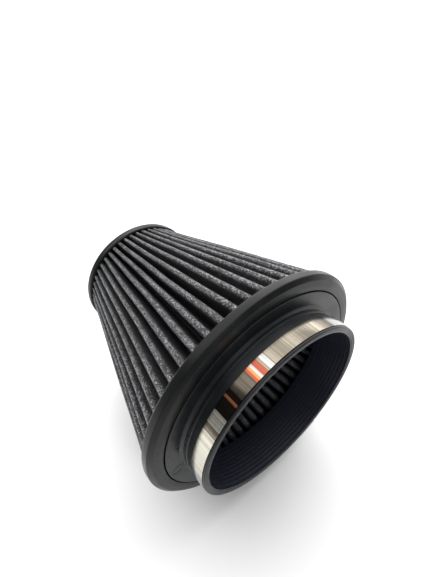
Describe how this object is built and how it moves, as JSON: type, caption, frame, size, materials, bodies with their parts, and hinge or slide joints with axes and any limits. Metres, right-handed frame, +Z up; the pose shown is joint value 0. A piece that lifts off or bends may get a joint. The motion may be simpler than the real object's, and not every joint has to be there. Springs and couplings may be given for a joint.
{
  "type": "conical clamp-on air filter",
  "caption": "Cone-shaped pleated air filter with a rubber end cap, a rubber base ring and a short rubber neck closed by a worm-drive band clamp.",
  "frame": {"origin": "centre of the neck's mouth, in the plane of its rim", "axes": "+X along the filter's axis, out of the mouth; +Z up; the filter lies level with its cap towards -X"},
  "size_m": [0.1455, 0.1438, 0.144],
  "materials": {
    "black_rubber": "satin moulded polyurethane rubber",
    "neck_rubber": "satin moulded rubber, slightly smoother than the ring",
    "wire_mesh": "fine woven wire screen, grey and glittering",
    "cotton_media": "pleated cotton gauze, nearly black",
    "clip_steel": "plain strip",
    "polished_steel": "polished stainless strip",
    "screw_steel": "plated screw"
  },
  "bodies": {
    "filter": {"end_cap": "black_rubber", "base_ring": "black_rubber", "neck_flange": "neck_rubber", "outer_mesh": "wire_mesh", "filter_media": "cotton_media", "inner_mesh": "wire_mesh", "seam_clip": "clip_steel"},
    "clamp": {"clamp_band": "polished_steel", "clamp_saddle": "polished_steel", "clamp_housing": "polished_steel"},
    "tail": {"clamp_band_tail": "polished_steel"},
    "screw": {"clamp_screw": "screw_steel"}
  },
  "joints": [
    {"name": "clamp_turn", "type": "hinge", "parent": "filter", "child": "clamp", "pos_m": [-0.0055, 0, 0], "axis": [1, 0, 0], "continuous": true},
    {"name": "screw_turn", "type": "hinge", "parent": "clamp", "child": "screw", "pos_m": [-0.0055, 0.0294, -0.05092], "axis": [0, -0.866, -0.5], "range_deg": [-944, 2834]},
    {"name": "tail_slide", "type": "hinge", "parent": "clamp", "child": "tail", "pos_m": [-0.0055, 0, 0], "axis": [1, 0, 0], "range_deg": [-6.1, 18.1]}
  ],
  "couplings": [
    {"joint": "tail_slide", "follows": "screw_turn", "ratio": 0.006349}
  ]
}
